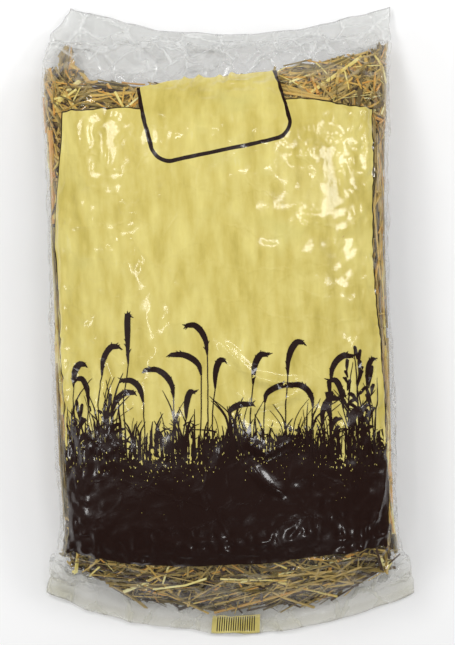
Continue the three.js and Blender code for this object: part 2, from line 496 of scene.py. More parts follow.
# %% Heights of facets, pleats and folds
def facets(points, size, seed):
    """Heights of crumpled film: 0 at scattered places, rising to sharp ridges between them."""
    random = np.random.default_rng(seed)
    rows, columns = points.shape[:2]
    count = int(FLAT_GIRTH * CROWN_LENGTH / size**2)
    places = points[random.integers(0, rows, count), random.integers(0, columns, count)]
    heights = np.zeros((rows, columns))
    for row in range(rows):
        away = np.linalg.norm(points[row][:, None] - places[None], axis=2)
        heights[row] = away.min(axis=1)
    return np.clip(heights / size, 0, 1.2)


def pleats(u, v, seed, end, count, spread):
    """Ridges that start at a seal and die away into the bag."""
    random = np.random.default_rng(seed)
    heights = np.zeros_like(u)
    inward = (CROWN_LENGTH / 2 - v * end) - 0.020
    for _ in range(count):
        place = random.uniform(-spread, spread) + random.choice([0, FLAT_GIRTH / 2])
        width = random.uniform(0.0022, 0.0048)
        length = random.uniform(0.02, 0.10)
        height = random.uniform(0.0012, 0.0040)
        slant = random.uniform(-0.35, 0.35)
        across = u - place - slant * inward
        across = (across + FLAT_GIRTH / 2) % FLAT_GIRTH - FLAT_GIRTH / 2
        width = width * (1 + 2.0 * np.clip(inward / length, 0, 1))
        fade = smooth_step(-0.012, 0.004, inward) * smooth_step(length, 0.3 * length, inward)
        ridge = np.clip(1 - np.abs(across) / width, 0, 1) ** 1.3
        heights = np.maximum(heights, height * fade * ridge)
    return heights


# Each fold: a path of (u, v) and a half width, in millimetres, and how strong the fold is.
FOLDS = [
    ([(-2, -8), (12, -24), (29, -42), (50, -47), (72, -46)], 8, 2.8),
    ([(14, -52), (24, -68), (46, -64), (78, -50)], 7, 2.4),
    ([(12, -72), (22, -98), (36, -108), (64, -96)], 9, 3.2),
    ([(26, -90), (37, -84), (66, -91)], 6, 2.2),
    ([(24, -120), (35, -134), (54, -146)], 9, 2.8),
    ([(96, -92), (116, -84), (134, -66)], 10, 1.5),
    ([(131, -188), (141, -160), (151, -118)], 4, 2.4),
    ([(150, -190), (154, -160), (152, -118)], 4, 2.4),
    ([(-118, -20), (-108, -50), (-124, -86), (-100, -118)], 12, 2.0),
    ([(-142, -70), (-128, -104), (-134, -150)], 9, 1.7),
    ([(-92, -62), (-104, -92), (-86, -108)], 9, 1.5),
    ([(-170, -246), (-160, -262), (-146, -284)], 4, 2.6),
    ([(-134, -238), (-128, -262), (-142, -286)], 4, 2.2),
    ([(112, -268), (88, -290), (66, -300)], 4, 2.2),
    ([(60, -296), (96, -284), (128, -276)], 4, 1.8),
    ([(-36, 218), (-30, 232), (-34, 262)], 4, 3.0),
    ([(-26, 216), (-16, 236), (-14, 258)], 4, 2.6),
    ([(2, 224), (4, 246), (-2, 280)], 4, 3.0),
    ([(12, 224), (16, 250), (22, 286)], 4, 2.6),
    ([(-4, 226), (30, 230), (44, 240)], 4, 2.0),
    ([(-150, 224), (-128, 262), (-116, 296)], 7, 3.2),
    ([(-128, 262), (-92, 236), (-60, 226)], 6, 2.4),
    ([(40, 262), (86, 282), (140, 276)], 6, 2.6),
    ([(92, 296), (110, 262), (146, 240)], 6, 2.4),
]


def along_path(u, v, path):
    """Distance of each point to a path, and a share that fades to 0 at the path's ends."""
    corners = np.array(path) / 1000
    run = lengths_along(corners)
    nearest = np.full(u.shape, 9.0)
    share = np.zeros(u.shape)
    for start, end, done in zip(corners[:-1], corners[1:], run):
        step = end - start
        length = np.linalg.norm(step)
        t = np.clip(((u - start[0]) * step[0] + (v - start[1]) * step[1]) / length**2, 0, 1)
        away = np.hypot(u - start[0] - t * step[0], v - start[1] - t * step[1])
        closer = away < nearest
        nearest = np.where(closer, away, nearest)
        share = np.where(closer, (done + t * length) / run[-1], share)
    return nearest, np.sin(math.pi * np.clip(share, 0.02, 0.98)) ** 0.5


# Each layer of facets: their size, their height on tight film, what loose film adds, a seed.
FACET_LAYERS = [(0.034, 0.0004, 0.0050, 36), (0.015, 0.0002, 0.0023, 37)]
PLEATS = [(38, 1, 40), (39, -1, 46)]  # a seed, which end, and how many there
PLEAT_SPREAD = 0.17  # how far from the middle of a seal a pleat may start
FOLD_HEIGHT = 0.0014  # of a fold whose strength is 1
FIN_WAVE = 0.0032  # how far the fins wave up


def looseness(u, v):
    """0 where the film lies tight on the straw, and 1 where there is none behind it."""
    empty = smooth_step(-0.012, 0.020, v - straw_top(u))
    side = smooth_step(0.135, 0.165, np.abs(u)) * smooth_step(0.24, 0.20, np.abs(u))
    bottom = smooth_step(-0.215, -0.250, v)
    corner = smooth_step(0.110, 0.150, np.abs(u)) * bottom
    return np.clip(empty + corner + 0.25 * side + 0.5 * bottom, 0, 1)


def folded(grid, out):
    """The tight film with its facets, pleats and folds."""
    u, v = film_u, film_v
    loose = looseness(u, v)
    bent = grid + 0.008 * np.stack([lumps(grid, 0.05, s) for s in (31, 32, 33)], axis=-1)
    rise = 0.0011 * lumps(grid * (1, 0.6, 1), 0.075, 34) + 0.0006 * lumps(grid, 0.03, 35)
    for size, when_tight, when_loose, seed in FACET_LAYERS:
        rise += (when_tight + when_loose * loose) * facets(bent, size, seed)
    rise += sum(pleats(u, v, seed, end, count, PLEAT_SPREAD) for seed, end, count in PLEATS)
    for path, width, strength in FOLDS:
        away, fade = along_path(u, v, path)
        ridge = np.clip(1 - away / (0.001 * width), 0, 1) ** 1.2
        rise += FOLD_HEIGHT * strength * fade * ridge
    print("folds, mm: most %.2f" % (rise.max() * 1000))
    to_edge = CROWN_LENGTH / 2 - np.abs(v)
    room = smooth_step(0, 0.045, to_edge) + 0.10
    result = grid + out * (rise * room * smooth_step(0.0, 0.010, to_edge))[..., None]
    flat = np.stack([grid[..., 0], grid[..., 1], 0 * u], axis=-1)
    wave = 0.55 + lumps(flat * (1, 0.5, 1), 0.045, 40) + 0.6 * lumps(flat, 0.018, 41)
    result[..., 2] += FIN_WAVE * np.clip(wave, 0, 2) * smooth_step(0.055, 0.010, to_edge)
    ragged = 0.0026 * lumps(flat, 0.06, 42) + 0.0016 * lumps(flat, 0.02, 43)
    result[..., 1] += ragged * smooth_step(0.02, 0, to_edge)
    result[..., 2] = np.maximum(result[..., 2], 0.0001)
    return closed_ends(result)


film_points = folded(tight, tight_out)
film_out = normals_of(film_points)

# %% [markdown]
# ## The film as a piece
#
# The folded grid becomes a mesh. A second map gives each point's place on the film in metres,
# so the print is laid out in real sizes and follows every fold.

# %% Make the film
film = close_up(grid_piece("clear_film", film_points))
printing = film.data.uv_layers.new(name="film")
unit = np.zeros(len(film.data.loops) * 2)
film.data.uv_layers["OFBake"].data.foreach_get("uv", unit)
metres = (unit.reshape(-1, 2) - 0.5) * (FLAT_GIRTH, CROWN_LENGTH)
printing.data.foreach_set("uv", metres.ravel())
select_only(film)
bpy.ops.object.shade_smooth()
print("film faces", len(film.data.polygons))

# %% [markdown]
# ## Straws
#
# Barley straw is hollow stems, some with a knot, some split open or squashed flat, with leaf
# blades, broken awns and chaff among them. Each kind is modelled once, along the Z axis from
# 0 to 1 and one radius wide, and then laid many times.

# %% Kinds of straw
MERGE_KIND = 1e-5


def finished_kind(piece):
    """The points, faces and bake map of a modelled straw, which is then removed."""
    in_edit_mode(
        piece,
        (bpy.ops.mesh.remove_doubles, {"threshold": MERGE_KIND}),
        (bpy.ops.mesh.normals_make_consistent, {"inside": False}),
        (bpy.ops.uv.smart_project, {"island_margin": 0.01}),
    )
    mesh = piece.data
    uv = np.zeros(len(mesh.loops) * 2)
    mesh.uv_layers.active.data.foreach_get("uv", uv)
    kind = {
        "points": points_of(piece),
        "loops": np.array([loop.vertex_index for loop in mesh.loops]),
        "sizes": np.array([face.loop_total for face in mesh.polygons]),
        "uv": uv.reshape(-1, 2),
    }
    bpy.data.objects.remove(piece)
    return kind


def tube_kind(heights, sides=6, hollow=True):
    """A tube through rings at the given heights. A hollow one has a dent in each end."""
    select_nothing()
    bpy.ops.mesh.primitive_circle_add(vertices=sides, radius=1, fill_type="NOTHING")
    piece = bpy.context.object
    bpy.ops.object.mode_set(mode="EDIT")
    bpy.ops.mesh.select_all(action="SELECT")
    for low, high in zip(heights[:-1], heights[1:]):
        bpy.ops.mesh.extrude_region_move(TRANSFORM_OT_translate={"value": (0, 0, high - low)})
    for end, inward in ((1, -1), (0, 1)):
        if end == 0:
            bpy.ops.mesh.select_all(action="DESELECT")
            bpy.ops.object.mode_set(mode="OBJECT")
            for vertex in piece.data.vertices:
                vertex.select = vertex.co.z < MERGE_KIND
            bpy.ops.object.mode_set(mode="EDIT")
        if hollow:
            bpy.ops.mesh.extrude_region_move()
            bpy.ops.transform.resize(value=(0.68, 0.68, 1), center_override=(0, 0, end))
            bpy.ops.mesh.extrude_region_move(
                TRANSFORM_OT_translate={"value": (0, 0, 0.03 * inward)}
            )
        bpy.ops.mesh.edge_face_add()
    bpy.ops.object.mode_set(mode="OBJECT")
    return piece


def strip_kind(shape, across, along, thickness):
    """A thin strip whose points (share across, share along) are moved by shape."""
    select_nothing()
    bpy.ops.mesh.primitive_grid_add(x_subdivisions=across, y_subdivisions=along, size=1)
    piece = bpy.context.object
    flat = points_of(piece)
    move_points(piece, shape(2 * flat[:, 0], flat[:, 1] + 0.5))
    with_modifier(piece, "SOLIDIFY", thickness=thickness, offset=0)
    return piece


def knot(piece):
    points = points_of(piece)
    near = np.clip(1 - np.abs(points[:, 2] - 0.42) / 0.02, 0, 1)
    points[:, :2] *= (1 + 0.35 * near)[:, None]
    move_points(piece, points)
    return piece


def kink(piece):
    points = points_of(piece)
    points[:, 0] += 2.5 * (1 - np.abs(points[:, 2] - 0.6) / 0.6)
    points[:, 1] *= 1 - 0.45 * np.clip(1 - np.abs(points[:, 2] - 0.6) / 0.12, 0, 1)
    move_points(piece, points)
    return piece


def split_shape(x, t):
    angle = 1.25 * x
    return np.stack([1.3 * np.sin(angle), 1.1 * np.cos(angle) - 0.6, t], axis=1)


def blade_shape(x, t):
    width = 1.3 * np.clip(np.minimum(4 * t + 0.35, 1.6 * (1 - t) + 0.06), 0, 1)
    twist = 1.8 * (t - 0.3)
    fold = 0.35 * np.abs(x) * width
    x = x * width
    return np.stack([
        x * np.cos(twist) - fold * np.sin(twist), x * np.sin(twist) + fold * np.cos(twist), t,
    ], axis=1)


def squashed(piece):
    points = points_of(piece)
    points[:, 0] *= 1.15
    points[:, 1] *= 0.38
    move_points(piece, points)
    return piece


def tapered(piece):
    points = points_of(piece)
    points[:, :2] *= (1 - 0.85 * points[:, 2])[:, None]
    move_points(piece, points)
    return piece


STEM_RINGS = [0, 0.25, 0.5, 0.75, 1]
KINDS = {
    "stem": finished_kind(tube_kind(STEM_RINGS)),
    "knotted": finished_kind(knot(tube_kind([0, 0.25, 0.40, 0.42, 0.44, 0.7, 1]))),
    "kinked": finished_kind(kink(tube_kind([0, 0.3, 0.54, 0.6, 0.66, 1]))),
    "flat": finished_kind(squashed(tube_kind(STEM_RINGS, hollow=False))),
    "split": finished_kind(strip_kind(split_shape, 4, 4, 0.22)),
    "blade": finished_kind(strip_kind(blade_shape, 2, 7, 0.14)),
    "awn": finished_kind(tapered(tube_kind([0, 0.5, 1], sides=3, hollow=False))),
}
for kind_name, kind in KINDS.items():
    print(kind_name, "faces", len(kind["sizes"]))

# %% [markdown]
# ## Nothing pokes through
#
# The film presses the outer straws flat. Any point of a straw that would stand through the
# film is tucked just under it.

# %% Tuck points under the film
STRAW_GAP = 0.0003
LOWEST_POINT = 0.0003
film_tree = BVHTree.FromObject(film, bpy.context.evaluated_depsgraph_get())


def tucked(points):
    """The points, with those outside the film or on it moved just under it."""
    flat = points.reshape(-1, 3).copy()
    for index, point in enumerate(flat):
        place, out, _, _ = film_tree.find_nearest(point)
        above = (Vector(point) - place).dot(out) + STRAW_GAP
        if above > 0:
            flat[index] = Vector(point) - out * above
    flat[:, 2] = np.maximum(flat[:, 2], LOWEST_POINT)
    return flat.reshape(points.shape)


# %% [markdown]
# ## Laying the straws
#
# A straw in the bag is held by the film at its ends and runs straight, or bends a little,
# between them. So each straw is laid from one place under the film to another, and the joined
# piece holds every straw of one part of the bag. Each straw keeps a tone of its own, which its
# colour is read from.

# %% Sweep a kind of straw along many lines
def swept(kind, lines, out, radius, turn, tone):
    """Points of many straws. lines holds each straw's start, middle and end."""
    start, middle, end = lines
    t = kind["points"][:, 2][None, :, None]
    middle = (middle - (start + end) / 2)[:, None]
    centre = start[:, None] * (1 - t) + end[:, None] * t + 4 * t * (1 - t) * middle
    forward = end - start
    length = np.linalg.norm(forward, axis=1, keepdims=True)
    forward = forward / np.maximum(length, 1e-9)
    side = np.cross(forward, out)
    side /= np.maximum(np.linalg.norm(side, axis=1, keepdims=True), 1e-9)
    up = np.cross(side, forward)
    cosine, sine = np.cos(turn)[:, None], np.sin(turn)[:, None]
    side, up = side * cosine + up * sine, up * cosine - side * sine
    x = (kind["points"][:, 0] * radius[:, None])[..., None]
    y = (kind["points"][:, 1] * radius[:, None])[..., None]
    count = len(kind["points"])
    points = centre + x * side[:, None] + y * up[:, None]
    return {
        "kind": kind,
        "points": tucked(points),
        "tone": np.repeat(tone[:, None], count, axis=1),
        "run": t[..., 0] * length + 7 * tone[:, None],
        "across": np.broadcast_to(kind["points"][:, 0], (len(tone), count)),
    }


def joined_straws(name, batches):
    """One mesh of all the straws in the batches, with a cell of the bake map for each."""
    total = sum(len(batch["points"]) for batch in batches)
    cells = math.ceil(math.sqrt(total))
    points, loops, sizes, maps, values = [], [], [], [], {"tone": [], "run": [], "across": []}
    first_point = first_straw = 0
    for batch in batches:
        kind, count = batch["kind"], len(batch["points"])
        in_kind = len(kind["points"])
        offsets = first_point + in_kind * np.arange(count)
        points.append(batch["points"].reshape(-1, 3))
        loops.append((kind["loops"][None] + offsets[:, None]).ravel())
        sizes.append(np.tile(kind["sizes"], count))
        straw = first_straw + np.arange(count)
        cell = np.stack([straw % cells, straw // cells], axis=1)[:, None]
        maps.append(((0.03 + 0.94 * kind["uv"][None] + cell) / cells).reshape(-1, 2))
        for value in values:
            values[value].append(batch[value].ravel())
        first_point += in_kind * count
        first_straw += count
    points, loops, sizes = (np.concatenate(part) for part in (points, loops, sizes))
    mesh = bpy.data.meshes.new(name)
    mesh.vertices.add(len(points))
    mesh.vertices.foreach_set("co", points.ravel())
    mesh.loops.add(len(loops))
    mesh.loops.foreach_set("vertex_index", loops)
    mesh.polygons.add(len(sizes))
    mesh.polygons.foreach_set("loop_start", np.concatenate([[0], np.cumsum(sizes)[:-1]]))
    mesh.polygons.foreach_set("loop_total", sizes)
    mesh.update(calc_edges=True)
    mesh.uv_layers.new(name="OFBake").data.foreach_set("uv", np.concatenate(maps).ravel())
    for value, parts in values.items():
        attribute = mesh.attributes.new(value, "FLOAT", "POINT")
        attribute.data.foreach_set("value", np.concatenate(parts).astype(np.float32))
    mesh.validate()
    piece = bpy.data.objects.new(name, mesh)
    SCENE.collection.objects.link(piece)
    select_only(piece)
    bpy.ops.object.shade_smooth_by_angle(angle=math.radians(50))
    mesh.calc_loop_triangles()
    print(name, "straws", total, "triangles", len(mesh.loop_triangles))
    return piece


# %% [markdown]
# ## Zones of straw
#
# A zone is a patch of film with its own crowd of straws: how many, how long, which way they
# mostly lie and how deep. A straw that would leave the filled part of the bag is left out, and
# a deeper straw is darker, because less light reaches it.

# %% Lines under the film
LOWEST_STRAW = 0.0012


def under_film(u, v, heading, length, depth, follow):
    """Lines under the film with their middles at (u, v), and the film's normal there."""
    ends = []
    for share in (-0.5, 0.0, 0.5):
        place = (u + share * length * np.cos(heading), v + share * length * np.sin(heading))
        ends.append(at_film(tight, *place) - at_film(tight_out, *place) * depth[:, None])
    start, middle, end = ends
    chord = (start + end) / 2
    middle = chord + (middle - chord) * follow[:, None]
    for points in (start, middle, end):
        points[:, 2] = np.maximum(points[:, 2], LOWEST_STRAW + 0.5 * depth)
    return (start, middle, end), at_film(tight_out, u, v)


def inside_bag(u, v, margin):
    return (v < straw_top(u) - margin) & (v > straw_bottom(u) + margin)


MIX = {"stem": 0.30, "knotted": 0.10, "kinked": 0.10, "flat": 0.20, "split": 0.15, "blade": 0.15}
FINE_MIX = {"stem": 0.15, "flat": 0.15, "split": 0.15, "blade": 0.25, "awn": 0.30}
FLAT_MIX = {"flat": 0.5, "blade": 0.5}
DARKER_BY_DEPTH, DARKEST = 45, 0.34  # how much tone a straw loses for each metre, and at most
AWN_THINNESS = 0.28
FILM_GAP = 0.0006  # the least depth of a straw's upper side


def zone(
    seed, count, across, up, heading, spread, lengths, layers, mix=MIX, radii=(0.7, 2.0),
    tint=0.0, margin=0.001,
):
    """
    Batches of straws in one zone of the film, which is across by up in metres. Heading and
    spread are in degrees. Lengths, layers (the depths) and radii are in millimetres. Tint makes
    every straw lighter or darker. Margin is how far their ends stay inside the filled part, or
    below 0 how far they may leave it.
    """
    random = np.random.default_rng(seed)
    draws = 3 * count
    u, v = random.uniform(*across, draws), random.uniform(*up, draws)
    angle = math.radians(heading) + random.normal(0, math.radians(spread), draws)
    length = random.uniform(*lengths, draws) / 1000
    keep = np.ones(draws, bool)
    for share in (-0.5, 0.5):
        reach = share * length
        keep &= inside_bag(u + reach * np.cos(angle), v + reach * np.sin(angle), margin)
    kept = np.nonzero(keep)[0][:count]
    u, v, angle, length = u[kept], v[kept], angle[kept], length[kept]
    radius = random.uniform(*radii, len(kept)) / 1000
    depth = radius * 1.1 + FILM_GAP + random.uniform(*layers, len(kept)) / 1000
    follow = random.uniform(0.25, 0.9, len(kept))
    lines, out = under_film(u, v, angle, length, depth, follow)
    darker = np.clip(DARKER_BY_DEPTH * (depth - 0.002), 0, DARKEST)
    tone = np.clip(0.08 + tint + random.beta(2.2, 1.8, len(kept)) - darker, 0.09, 1)
    turn = random.uniform(0, 2 * math.pi, len(kept))
    turn = np.where(random.random(len(kept)) < 0.6, 0.5 * np.sin(turn), turn)
    share = random.random(len(kept))
    batches, low = [], 0.0
    for kind, part in mix.items():
        of_kind = (share >= low) & (share < low + part)
        low += part
        thin = AWN_THINNESS if kind == "awn" else 1
        batches.append(swept(
            KINDS[kind], [line[of_kind] for line in lines], out[of_kind],
            radius[of_kind] * thin, turn[of_kind], tone[of_kind],
        ))
    return batches


# %% [markdown]
# ## Filling the bag
#
# Straw shows at both ends, along both sides, behind, and faintly through the print. Each of
# these parts is one joined piece, made of one zone or more: long straws, and where they are
# seen most clearly, short fine bits that fill the gaps. The bottom end has flat, broken pieces
# too, whose dark tones are painted shade in the gaps between the straws.

# %% Fill the bag
SIDE = 0.235  # how far round the bag its side straws go
FINE = {"mix": FINE_MIX, "radii": (0.4, 1.1)}
ZONES = {  # seed, count, across, up, heading, spread, lengths, layers, and what else differs
    "bottom_straw": [
        (1, 560, (-0.15, 0.15), (-0.30, -0.17), 70, 70, (30, 110), (0.5, 9.0),
            {"radii": (0.6, 1.6), "tint": -0.24}),
        (2, 680, (-0.14, 0.14), (-0.30, -0.20), 60, 90, (10, 40), (0.0, 6.0),
            {**FINE, "tint": -0.22}),
        # Flat broken pieces in dark tones: painted shade in the gaps between the straws.
        (16, 420, (-0.14, 0.14), (-0.30, -0.225), 45, 90, (14, 60), (3.0, 9.0),
            {"mix": FLAT_MIX, "radii": (1.2, 2.6), "tint": -0.5}),
        (3, 70, (-0.13, 0.13), (-0.295, -0.200), 20, 42, (40, 120), (0.0, 1.5),
            {"radii": (0.7, 1.5), "tint": -0.02}),
    ],
    "top_straw": [
        (4, 420, (-0.20, -0.03), (0.15, 0.245), 60, 60, (25, 90), (0.0, 8.0), {"radii": (0.6, 1.7)}),
        (5, 420, (0.03, 0.20), (0.16, 0.275), 60, 60, (25, 90), (0.0, 8.0), {"radii": (0.6, 1.7)}),
        (6, 420, (-0.20, 0.20), (0.18, 0.272), 20, 80, (10, 35), (0.0, 5.0), FINE),
        (14, 260, (-0.19, 0.00), (0.200, 0.243), 15, 50, (12, 60), (0.0, 12.0), {"radii": (0.7, 1.6)}),
        (17, 320, (-0.19, 0.06), (0.220, 0.262), 0, 60, (15, 50), (13.0, 21.0),
            {"radii": (0.7, 1.7), "tint": 0.20, "margin": -0.026}),
        (15, 200, (0.04, 0.19), (0.220, 0.272), 15, 60, (12, 60), (0.0, 12.0), {"radii": (0.7, 1.6)}),
    ],
    "left_straw": [
        (7, 330, (-SIDE, -0.12), (-0.24, 0.22), 90, 24, (50, 170), (0.0, 10.0), {}),
        (8, 220, (-SIDE, -0.13), (-0.24, 0.22), 90, 50, (12, 45), (0.0, 6.0), FINE),
    ],
    "right_straw": [
        (9, 330, (0.12, SIDE), (-0.24, 0.24), 90, 24, (50, 170), (0.0, 10.0), {}),
        (10, 220, (0.13, SIDE), (-0.24, 0.24), 90, 50, (12, 45), (0.0, 6.0), FINE),
    ],
    "front_straw": [
        (11, 420, (-0.15, 0.15), (-0.20, 0.20), 75, 45, (50, 170), (2.4, 9.0), {}),
    ],
    "back_straw": [
        (12, 300, (-0.36, -0.20), (-0.25, 0.22), 90, 50, (50, 150), (0.5, 8.0), {}),
        (13, 300, (0.20, 0.36), (-0.25, 0.22), 90, 50, (50, 150), (0.5, 8.0), {}),
    ],
}
straw_pieces = []
for name, zones in ZONES.items():
    batches = []
    for *layout, differs in zones:
        batches += zone(*layout, **differs)
    straw_pieces.append(joined_straws(name, batches))

# %% [markdown]
# ## The stems and blades that the frame names
#
# The frame gives thirty-two stems and six leaf blades a place each. Their solids are plain
# prisms, so each is replaced by a hollow stem or a folded blade that runs along the same line.

# %% Read a line from a solid and lay a straw along it
STEP_INWARD = 0.0022
HALF_WAY_UP = 0.04  # a straw above this lies under the front, and steps down
RINGS = 8  # of points along each solid


def line_of(node):
    """Start, middle and end of a long thin solid's centre line, and its half width."""
    points = np.unique(points_of(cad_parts[node]).round(7), axis=0)
    centre = points.mean(axis=0)
    axis = np.linalg.svd(points - centre)[2][0]
    rings = np.array_split(points[np.argsort((points - centre) @ axis)], RINGS)
    middles = [ring.mean(axis=0) for ring in rings]
    half = RINGS // 2
    half_width = np.linalg.norm(rings[half - 1] - middles[half - 1], axis=1).max()
    return (middles[0], (middles[half - 1] + middles[half]) / 2, middles[-1]), half_width


def named_straw(name, node, kind, seed):
    random = np.random.default_rng(seed)
    places, half_width = line_of(node)
    inward = -np.array([0, 0, STEP_INWARD]) * np.sign(places[1][2] - HALF_WAY_UP)
    lines = [np.array([place + inward]) for place in places]
    out = np.array([[0.0, 0.0, 1.0]])
    radius = np.array([half_width / np.abs(kind["points"][:, 0]).max()])
    turn = np.array([random.uniform(-0.4, 0.4)])
    tone = np.array([random.uniform(0.45, 0.95)])
    return joined_straws(name, [swept(kind, lines, out, radius, turn, tone)])


named = []
for node in sorted(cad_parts):
    number = int(node.split("_")[-1]) if node[-1].isdigit() else 0
    if node.startswith("stem_"):
        kind = KINDS[("stem", "knotted", "split", "stem")[number % 4]]
        name = f"barley_stem_{number:02d}"
        named.append((named_straw(name, node, kind, 300 + number), node, "stem"))
    elif node.startswith("leaf_blade_"):
        name = f"barley_blade_{number:02d}"
        named.append((named_straw(name, node, KINDS["blade"], 400 + number), node, "leaf"))
print("named straws", len(named))

# %% [markdown]
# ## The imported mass
#
# Deep between the straws it is dark. A lumpy body inside the outer straws closes the view
# through the bag, as thousands of straws do in the real one.

# %% Make the mass
MASS_SHORT = (0.008, 0.020)  # loose straws fill the last of each end
low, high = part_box("packed_straw")
mass_ends = (low.y + MASS_SHORT[0], high.y - MASS_SHORT[1])
mass_grid = lumpy_grid(mass_ends, rows=170, columns=190, depth=0.0105, height=0.0045, seed=51)
mass = grid_piece("straw_mass", mass_grid)
in_edit_mode(mass, (bpy.ops.mesh.remove_doubles, {"threshold": MERGE}))
bpy.ops.object.mode_set(mode="EDIT")
bpy.ops.mesh.select_mode(type="EDGE")
bpy.ops.mesh.select_all(action="DESELECT")
bpy.ops.mesh.select_non_manifold()
bpy.ops.mesh.fill()
bpy.ops.mesh.select_mode(type="VERT")
bpy.ops.object.mode_set(mode="OBJECT")
in_edit_mode(mass, (bpy.ops.mesh.normals_make_consistent, {"inside": False}))
select_only(mass)
bpy.ops.object.shade_smooth()
print("mass faces", len(mass.data.polygons))

# %% [markdown]
# ## The printed plants
#
# The print on the film shows a field: dark ground with a ragged edge, and barley above it.
# The ground is painted by the film's material. The plants are thin shapes of ink, made flat
# as ribbons in the film's own measures, and then carried onto the film just above its surface,
# so they bend with every fold.

# %% Ribbons of ink
INK_LIFT = 0.00022
INK_STEP = 0.00002  # neighbouring plants lie this much higher than each other
INK_LAYERS = 6
INK_THICKNESS = 0.00008
RIBBON_STEP = 0.0022


def ribbon(path, widths):
    """Left and right edges of a ribbon along a smooth path of (u, v) in millimetres."""
    path = np.array(path, float) / 1000
    knots = np.linspace(0, 1, len(path))
    length = lengths_along(path)[-1]
    t = np.linspace(0, 1, max(3, int(length / RIBBON_STEP)))
    smooth_u = curve_through(list(zip(knots, path[:, 0])))
    smooth_v = curve_through(list(zip(knots, path[:, 1])))
    centre = np.stack([smooth_u(t), smooth_v(t)], axis=1)
    ahead = np.gradient(centre, axis=0)
    ahead /= np.maximum(np.linalg.norm(ahead, axis=1, keepdims=True), 1e-12)
    half = np.interp(t, np.linspace(0, 1, len(widths)), widths)[:, None] / 2000
    across = np.stack([-ahead[:, 1], ahead[:, 0]], axis=1) * half
    return centre - across, centre + across


def ear_of_barley(root, top, droop, rise, seed):
    """A stalk whose plump ear arches over to one side, with short awns along its edges."""
    random = np.random.default_rng(seed)
    side = np.sign(droop)
    middle = ((root[0] * 2 + top[0]) / 3 - 2 * side, (root[1] + top[1]) / 2)
    ribbons = [ribbon([root, middle, top], [1.5, 1.0, 0.9])]
    arch = [(0, 0), (0.04, 0.40), (0.28, 0.80), (0.66, 1.0), (1.0, 0.98)]
    head = [(top[0] + across * droop, top[1] + up * rise) for across, up in arch]
    left, right = ribbon(head, [0.9, 3.4, 5.4, 5.6, 4.8, 3.0])
    ribbons.append((left, right))
    centre = 500 * (left + right)
    ahead = np.gradient(centre, axis=0)
    ahead /= np.linalg.norm(ahead, axis=1, keepdims=True)
    for number in range(2, len(centre)):
        turn = random.choice([-1, 1]) * random.uniform(0.35, 0.75)
        way = ahead[number] @ [[math.cos(turn), math.sin(turn)], [-math.sin(turn), math.cos(turn)]]
        tip = centre[number] + way * random.uniform(3.2, 5.6)
        ribbons.append(ribbon([tuple(centre[number]), tuple(tip)], [2.4, 1.2, 0.3]))
    return ribbons


def grass_blade(root, height, lean, width):
    u0, v0 = root
    path = [(u0, v0), (u0 + 0.25 * lean, v0 + 0.6 * height), (u0 + lean, v0 + height)]
    return [ribbon(path, [width, 0.75 * width, 0.3])]


def bushy_plant(root, height, seed):
    """A forked weed with narrow leaves."""
    random = np.random.default_rng(seed)
    u0, v0 = root
    ribbons = grass_blade(root, height, random.uniform(-8, 8), 1.8)
    for share in np.linspace(0.25, 1.0, 11):
        lean = random.uniform(8, 20) * random.choice([-1, 1]) * (1.15 - share)
        place = (u0 + random.uniform(-1.5, 1.5), v0 + share * height * 0.9)
        rise = random.uniform(4, 16)
        bend = (place[0] + 0.6 * lean, place[1] + rise)
        tip = (place[0] + lean, place[1] + rise * 1.1)
        ribbons.append(ribbon([place, bend, tip], [1.0, 3.4, 3.0, 0.5]))
    return ribbons


# %% [markdown]
# ## The field
#
# Twenty ears of barley stand at listed places, each with an arch of its own. Grass of
# every height grows between them, in clumps and taller towards the sides, with a few forked
# weeds at both edges. It is all one dark shape, as ink of one colour makes it.

# %% Grow the field
GROUND_TOP = -104  # millimetres up the film
ROOTS = GROUND_TOP - 12
FIELD_EDGES = (-146, 143)
GRASS_BLADES = 330
WEEDS = [(96, 58), (112, 84), (122, 96), (134, 72), (-104, 44), (-132, 40)]  # place, height
EARS = [  # root u, top u, top v, droop, rise
    (-138, -137, -50, 13, 20), (-126, -121, -66, -12, 24), (-112, -108, -40, 16, 26),
    (-98, -97, -70, 18, 15), (-88, -84, -30, 2, 44), (-74, -71, -64, -19, 20),
    (-48, -44, -60, -25, 26), (-36, -33, -78, 7, 24), (-24, -19, -40, -27, 19),
    (-17, -13, -22, -18, 27), (-9, -7, -52, 9, 26), (8, 5, -76, 21, 11), (25, 27, -48, 13, 27),
    (38, 37, -64, 28, 16), (57, 58, -40, 15, 30), (76, 80, -68, -21, 20), (86, 87, -86, 17, 26),
    (99, 97, -46, 21, 24), (112, 108, -70, -12, 26), (129, 131, -52, 9, 26),
]
field_random = np.random.default_rng(61)
ribbons = []
for number, (root, top, height, droop, rise) in enumerate(EARS):
    ribbons += ear_of_barley((root, ROOTS), (top, height), droop, rise, 500 + number)
for number in range(GRASS_BLADES):
    place = field_random.uniform(-146, 142)
    near_side = 1 + 0.7 * smooth_step(70, 130, abs(place))
    tall = min(field_random.gamma(1.8, 8.0), 30) * near_side * (1 + 0.5 * math.sin(place / 9))
    lean = field_random.normal(0, 0.38) * tall
    lean = np.clip(place + lean, *FIELD_EDGES) - place
    base = (place, ROOTS + field_random.uniform(0, 14))
    ribbons += grass_blade(base, tall + 9, lean, field_random.uniform(0.6, 2.6))
    if number % 3 == 0:
        fork = (place + 0.5 * lean, base[1] + 0.7 * tall)
        side_lean = np.clip(fork[0] + field_random.normal(0, 7), *FIELD_EDGES) - fork[0]
        ribbons += grass_blade(fork, field_random.uniform(2, 9), side_lean, 1.8)
for number, (place, tall) in enumerate(WEEDS):
    ribbons += bushy_plant((place, GROUND_TOP - 8), tall, 600 + number)


